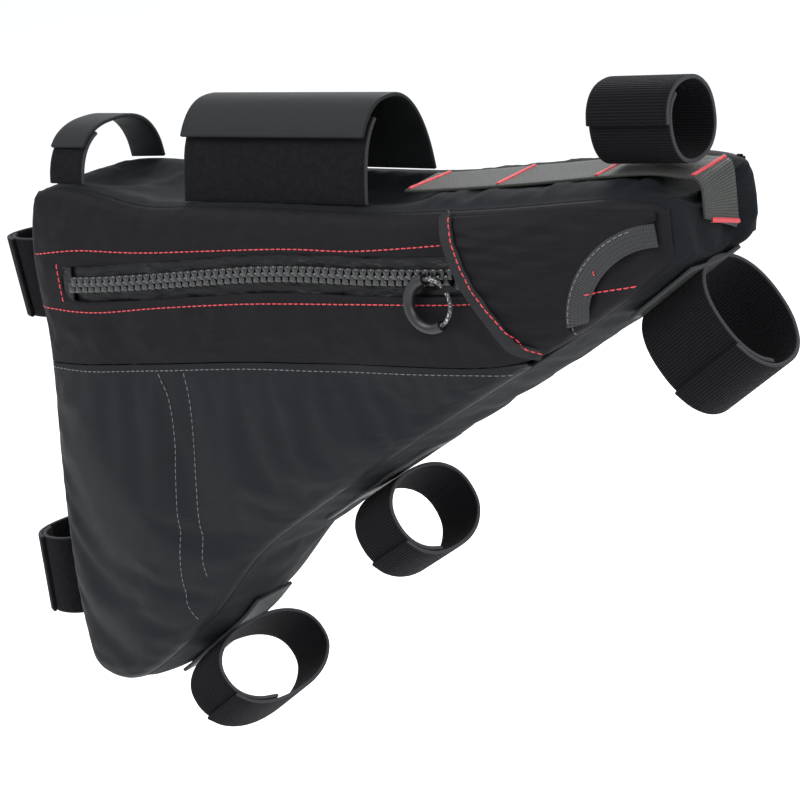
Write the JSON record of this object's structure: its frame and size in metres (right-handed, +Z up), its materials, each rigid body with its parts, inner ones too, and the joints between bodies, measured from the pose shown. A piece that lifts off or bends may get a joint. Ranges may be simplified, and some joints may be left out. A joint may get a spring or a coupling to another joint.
{
  "type": "bicycle frame bag",
  "caption": "Soft wedge-shaped bag that straps inside a bicycle frame's triangle, with a side zip, a cover flap over its front end and a cable port.",
  "frame": {"origin": "on the axis of the top tube that the straps hold, above the bag's top edge", "axes": "+X forward along the top tube, +Y to the bicycle's left, +Z up; the zip is on the right side"},
  "size_m": [0.4136, 0.0903, 0.3024],
  "materials": {
    "band_cloth": "plain weave, purple-black",
    "panel_cloth": "smooth coated nylon",
    "gusset_cloth": "smooth coated nylon, blue-grey",
    "zip_tape": "gloss film on a woven tape",
    "zip_teeth": "satin moulded",
    "webbing": "ribbed webbing",
    "loop_strap": "fuzzy loop face",
    "hook_strap": "hook face",
    "ring": "satin",
    "pull_cord": "braided, with light flecks"
  },
  "bodies": {
    "root": {"daisy_webbing": "webbing", "down_tube_gusset": "gusset_cloth", "down_tube_strap_front": "loop_strap", "down_tube_strap_lower": "loop_strap", "down_tube_strap_middle": "loop_strap", "down_tube_strip_front": "webbing", "down_tube_strip_lower": "webbing", "down_tube_strip_middle": "webbing", "left_panel": "panel_cloth", "nose_gusset": "gusset_cloth", "port_binding": "webbing", "pull_cord": "pull_cord", "right_lower_panel": "panel_cloth", "right_zip_band": "band_cloth", "ring_sleeve": "ring", "seat_tube_gusset": "gusset_cloth", "seat_tube_strap_lower": "loop_strap", "seat_tube_strap_upper": "loop_strap", "top_front_strap": "loop_strap", "top_gusset": "gusset_cloth", "top_rear_leg": "loop_strap", "top_rear_strap": "hook_strap", "top_wide_leg": "loop_strap", "top_wide_strap": "hook_strap", "zip_chain": "zip_teeth", "zip_end_tab": "zip_tape", "zip_garage": "band_cloth", "zip_slider": "zip_teeth", "zip_tape_lower": "zip_tape", "zip_tape_upper": "zip_tape"}
  },
  "joints": []
}
